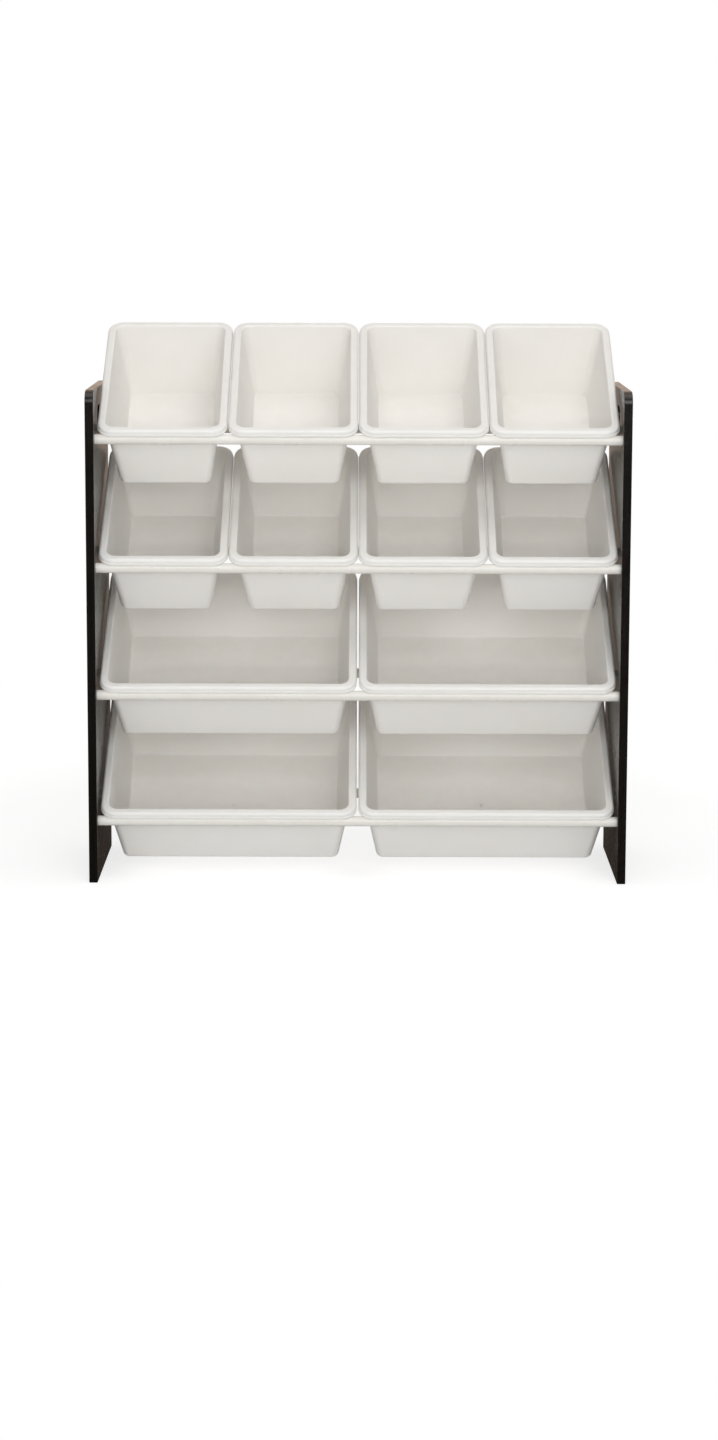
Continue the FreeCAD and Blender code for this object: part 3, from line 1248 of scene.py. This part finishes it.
@dataclass
class PanelScrews:
    """The eight countersunk screws of one panel, with their cross recesses, in millimetres."""

    side: Side
    rods: RodPlan
    material: bpy.types.Material
    head_radius: float = 5.0
    head_round: float = 0.25
    head_rim: float = 0.2
    head_cone: float = 0.45
    shank_radius: float = 2.25
    plain_shank: float = 3.0
    tip: float = 4.0
    tip_taper: float = 0.9
    thread_pitch: float = 1.8
    thread_height: float = 0.12
    thread_crest: float = 0.5
    thread_width: float = 0.9
    thread_end: float = 1.0
    recess_span: float = 5.2
    recess_width: float = 1.15
    recess_depth: float = 2.2
    recess_taper: float = 0.45
    recess_rise: float = 0.5
    turn_degrees: float = 37.0
    sides: int = 32

    def screw(self, length: float) -> bmesh.types.BMesh:
        """Build one screw along +X from its head, which is at X = 0.

        Args:
            length: The screw's length in millimetres.

        Returns:
            The mesh in millimetres.
        """
        cone_end = self.head_radius - self.shank_radius
        crown = self.head_radius - self.head_round
        root_radius = self.shank_radius - self.thread_height
        section = [(0.0, 0.0), (0.0, self.head_radius / 2), (0.0, crown), (self.head_rim, self.head_radius),
                   (self.head_cone, crown), (cone_end, self.shank_radius)]
        threaded = length - self.tip - cone_end - self.plain_shank - self.thread_end
        for turn in range(int(threaded / self.thread_pitch)):
            start = cone_end + self.plain_shank + turn * self.thread_pitch
            section += [(start, root_radius), (start + self.thread_crest, self.shank_radius),
                        (start + self.thread_width, root_radius)]
        section += [(length - self.tip, self.shank_radius * self.tip_taper), (length, 0.0)]
        mesh = bmesh.new()
        revolve(mesh, section, self.sides, closed=False)
        return mesh

    def recess_cutter(self) -> bpy.types.Object:
        """Build the cross that is cut into a head: two tapering blades.

        Returns:
            The cross as an object, in millimetres, with the head's face at X = 0.
        """
        mesh = bmesh.new()
        for turn in (0, 90):
            blade = bmesh.ops.create_cube(mesh, size=1.0)["verts"]
            for vert in blade:
                outside = vert.co.x < 0
                taper = 1.0 if outside else self.recess_taper
                vert.co.x = -self.recess_rise if outside else self.recess_depth
                vert.co.y *= self.recess_span * taper
                vert.co.z *= self.recess_width * taper
            spin = Matrix.Rotation(math.radians(turn), 3, "X")
            bmesh.ops.rotate(mesh, verts=blade, cent=(0, 0, 0), matrix=spin)
        return finish_mesh(mesh, "recess_cutter", Matrix.Identity(4))

    def recessed_screw(self, length: float) -> bpy.types.Mesh:
        """Build one screw and cut the cross into its head.

        Args:
            length: The screw's length in millimetres.

        Returns:
            The mesh in millimetres, along +X from its head.
        """
        single = finish_mesh(self.screw(length), "screw", Matrix.Identity(4))
        cutter = self.recess_cutter()
        cut = single.modifiers.new("recess", "BOOLEAN")
        cut.object = cutter
        cut.solver = "EXACT"
        cut.use_self = True
        shape = bpy.data.meshes.new_from_object(single.evaluated_get(bpy.context.evaluated_depsgraph_get()))
        for helper in (single, cutter):
            bpy.data.objects.remove(helper)
        return shape

    def build(self) -> None:
        """Build and dress the panel's screws as one piece of eight screws, each turned its own way."""
        node = f"{self.side.name.lower()}_panel_screws"
        low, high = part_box(node)
        head_x = low[0] if self.side is Side.LEFT else high[0]
        facing = Matrix.Rotation(0 if self.side is Side.LEFT else math.pi, 4, "Z")
        shape = self.recessed_screw((high[0] - low[0]) / MM)
        group = bmesh.new()
        for index, (y, z) in enumerate(self.places()):
            one = bmesh.new()
            one.from_mesh(shape)
            spin = Matrix.Rotation(math.radians(self.turn_degrees * index), 4, "X")
            one.transform(Matrix.Translation((head_x, y, z)) @ facing @ Matrix.Scale(MM, 4) @ spin)
            turned = bpy.data.meshes.new("turned_screw")
            one.to_mesh(turned)
            one.free()
            group.from_mesh(turned)
            bpy.data.meshes.remove(turned)
        bpy.data.meshes.remove(shape)
        piece = finish_mesh(group, node + "_set", Matrix.Identity(4))
        piece.data.materials.append(self.material)
        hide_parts(node)
        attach(piece, FRAME_BODY)
        log.info("screws %s", node)

    def places(self) -> Iterable[Point]:
        """Return Y and Z of each screw, in metres."""
        return [(y, z) for y in (self.rods.front_y, self.rods.rear_y) for z in self.rods.heights.values()]


def dress_plugs(material: bpy.types.Material) -> None:
    """Give the CAD end plugs, which sit out of sight inside the tubes, their finish.

    Args:
        material: The plugs' material.
    """
    for node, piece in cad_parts.items():
        if node.endswith("_end_plugs"):
            for place in piece.material_slots:
                place.material = material
            log.info("plugs %s", node)


# ---------------------------------------------------------------- the studio


@dataclass(frozen=True)
class Softbox:
    """A rectangular soft lamp: where it hangs and its width and height, in metres, and its watts."""

    name: str
    place: Point3
    size: Point
    watts: float
    reflected: bool = True

    def build(self, aim: Point3) -> None:
        """Hang the lamp.

        Args:
            aim: The point that it looks at, in metres.
        """
        lamp = bpy.data.lights.new(self.name, "AREA")
        lamp.shape = "RECTANGLE"
        lamp.size, lamp.size_y = self.size
        lamp.energy = self.watts
        holder = bpy.data.objects.new(self.name, lamp)
        bpy.context.collection.objects.link(holder)
        holder.location = self.place
        holder.visible_glossy = self.reflected
        look = Vector(aim) - Vector(self.place)
        holder.rotation_euler = look.to_track_quat("-Z", "Y").to_euler()


LAMPS = (
    Softbox("key", (0.45, -4.3, 2.3), (2.8, 2.0), 68.0),
    Softbox("overhead", (0.2, -0.9, 3.4), (2.8, 2.2), 31.0),
    Softbox("low_fill", (-0.2, -3.6, 0.7), (6.0, 1.3), 56.0, reflected=False),
)


@dataclass(frozen=True)
class Studio:
    """The plain floor and background, and the soft light."""

    room_level: float = 0.08
    backdrop_level: float = 0.45
    unlit_room: float = 0.03
    lit_backdrop: float = 1.0
    warm_reflection: tuple[int, int, int] = (255, 230, 210)
    floor_glow: float = 0.55
    near_glow: float = 1.42
    near_share: float = 0.5
    floor_colour: tuple[int, int, int] = (250, 250, 250)
    floor_shine: float = 0.1
    floor_half: float = 14.0
    shadow_reach: float = 0.75
    shadow_end: float = 1.9
    lamp_aim: Point3 = (0.0, 0.0, 0.45)

    def build(self) -> None:
        """Build the world, the floor and the lamps."""
        bpy.context.scene.view_settings.view_transform = "Standard"
        self.world()
        self.floor()
        for lamp in LAMPS:
            lamp.build(self.lamp_aim)

    def world(self) -> None:
        """Surround the organizer with soft light, a white backdrop and an unlit room in front.

        The room shows only in reflections, so that dark satin surfaces stay dark.
        """
        world = bpy.data.worlds.new("studio")
        bpy.context.scene.world = world
        world.use_nodes = True
        graph = Graph(world.node_tree)
        direction = graph.split(graph.add("ShaderNodeTexCoord").outputs["Generated"])
        behind = graph.remap(direction.outputs["Y"], -0.4, 0.3)
        above = graph.remap(direction.outputs["Z"], -0.22, 0.08)
        mirrored = graph.remap(graph.times(behind, above), 0.0, 1.0, self.unlit_room, self.lit_backdrop)
        around = graph.remap(behind, 0.0, 1.0, self.room_level, self.backdrop_level)
        path = graph.add("ShaderNodeLightPath")
        seen = graph.math("MAXIMUM", path.outputs["Is Camera Ray"], path.outputs["Is Transmission Ray"])
        glossy = graph.times(path.outputs["Is Glossy Ray"], mirrored)
        neither = graph.minus(1.0, graph.plus(seen, path.outputs["Is Glossy Ray"]))
        soft = graph.times(graph.math("MAXIMUM", neither, 0.0), around)
        level = graph.plus(graph.plus(seen, glossy), soft)
        light = graph.add("ShaderNodeBackground")
        graph.link(level, light.inputs["Strength"])
        tint = graph.mix(path.outputs["Is Glossy Ray"], (1, 1, 1, 1), linear(*self.warm_reflection))
        graph.link(tint, light.inputs["Color"])
        graph.link(light.outputs[0], graph.add("ShaderNodeOutputWorld").inputs["Surface"])

    def floor(self) -> None:
        """Make the white floor, which keeps the shadow near the organizer and is plain beyond it."""
        mesh = bmesh.new()
        bmesh.ops.create_grid(mesh, x_segments=8, y_segments=8, size=self.floor_half)
        floor = finish_mesh(mesh, "floor", Matrix.Identity(4))
        floor.data.materials.append(self.floor_material())
        floor.visible_glossy = False

    def floor_material(self) -> bpy.types.Material:
        """Make the floor's material: a lit surface near the organizer that turns into plain white.

        Returns:
            The material.
        """
        material = bpy.data.materials.new("floor_paper")
        material.use_nodes = True
        graph = Graph(material.node_tree)
        shader = graph.add("ShaderNodeBsdfPrincipled")
        shader.inputs["Base Color"].default_value = linear(*self.floor_colour)
        shader.inputs["Specular IOR Level"].default_value = self.floor_shine
        place = graph.object_place()
        rough = graph.remap(graph.noise(place, 3.0, detail=2.0), 0.3, 0.7, 0.8, 0.9)
        graph.link(rough, shader.inputs["Roughness"])
        distance = graph.add("ShaderNodeVectorMath", operation="LENGTH")
        graph.link(place, distance.inputs[0])
        away = graph.remap(distance.outputs["Value"], self.shadow_reach, self.shadow_end)
        share = graph.remap(away, 0.0, 1.0, self.near_share, 1.0)
        glow = graph.remap(away, 0.0, 1.0, self.near_glow, 1.0)
        plain = graph.add("ShaderNodeEmission")
        seen = graph.add("ShaderNodeLightPath").outputs["Is Camera Ray"]
        graph.link(graph.remap(seen, 0.0, 1.0, self.floor_glow, glow), plain.inputs["Strength"])
        blend = graph.add("ShaderNodeMixShader")
        graph.link(share, blend.inputs[0])
        graph.link(shader.outputs[0], blend.inputs[1])
        graph.link(plain.outputs[0], blend.inputs[2])
        graph.link(blend.outputs[0], graph.add("ShaderNodeOutputMaterial").inputs["Surface"])
        return material


@dataclass(frozen=True)
class Viewpoint:
    """The photograph's camera, worked out from the object's own proportions.

    Distances are in metres; the principal point and focal length are in the pixels of the
    718 by 1440 photograph.
    """

    image_width: float = 718.0
    image_height: float = 1440.0
    focal_pixels: float = 2902.3
    principal_x: float = 358.1
    principal_y: float = 605.0
    stand_off: float = 4.531
    eye_height: float = 1.0933
    pitch_degrees: float = 8.079
    roll_degrees: float = 0.168
    sensor: float = 36.0

    def build(self, front_y: float) -> None:
        """Make the camera and use it.

        Args:
            front_y: Where the panels' front edges are.
        """
        data = bpy.data.cameras.new("photo_view")
        data.sensor_fit = "AUTO"
        data.sensor_width = self.sensor
        data.lens = self.focal_pixels * self.sensor / self.image_height
        data.shift_x = (self.image_width / 2 - self.principal_x) / self.image_height
        data.shift_y = (self.principal_y - self.image_height / 2) / self.image_height
        data.clip_end = 60.0
        camera = bpy.data.objects.new("photo_view", data)
        bpy.context.collection.objects.link(camera)
        camera.location = (0.0, front_y - self.stand_off, self.eye_height)
        upright = Matrix.Rotation(math.radians(90 - self.pitch_degrees), 4, "X")
        camera.matrix_world = (Matrix.Translation(camera.location) @ upright
                               @ Matrix.Rotation(math.radians(self.roll_degrees), 4, "Z"))
        bpy.context.scene.camera = camera


# ---------------------------------------------------------------- the build

BIN_ROWS = (
    (Tier.TOP, "small", 4),
    (Tier.SECOND, "small", 4),
    (Tier.THIRD, "large", 2),
    (Tier.BOTTOM, "large", 2),
)


def main() -> None:
    """Build the organizer and its studio in order."""
    logging.basicConfig(level=logging.INFO, format="%(name)s: %(message)s")
    painter = Painter(Effects())
    rods = RodPlan.from_frame()
    laminate = DarkLaminate().material(painter)
    paint = WhitePaint().material(painter)
    plastic = MouldedPlastic().material(painter)
    zinc = ZINC_PLATE.material(painter)
    for side in Side:
        SidePanel(side, rods, laminate).build()
        PanelScrews(side, rods, zinc).build()
    for row in Row:
        for tier in Tier:
            Rod(row, tier, rods, paint).build()
    mould = BinMould()
    for tier, size, count in BIN_ROWS:
        BinRow(tier, size, count, mould, rods, plastic).build()
    dress_plugs(PLUG_PLASTIC.material(painter))
    Studio().build()
    Viewpoint().build(front_y=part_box("left_side_panel")[0].y)


if __name__ == "__main__":
    main()
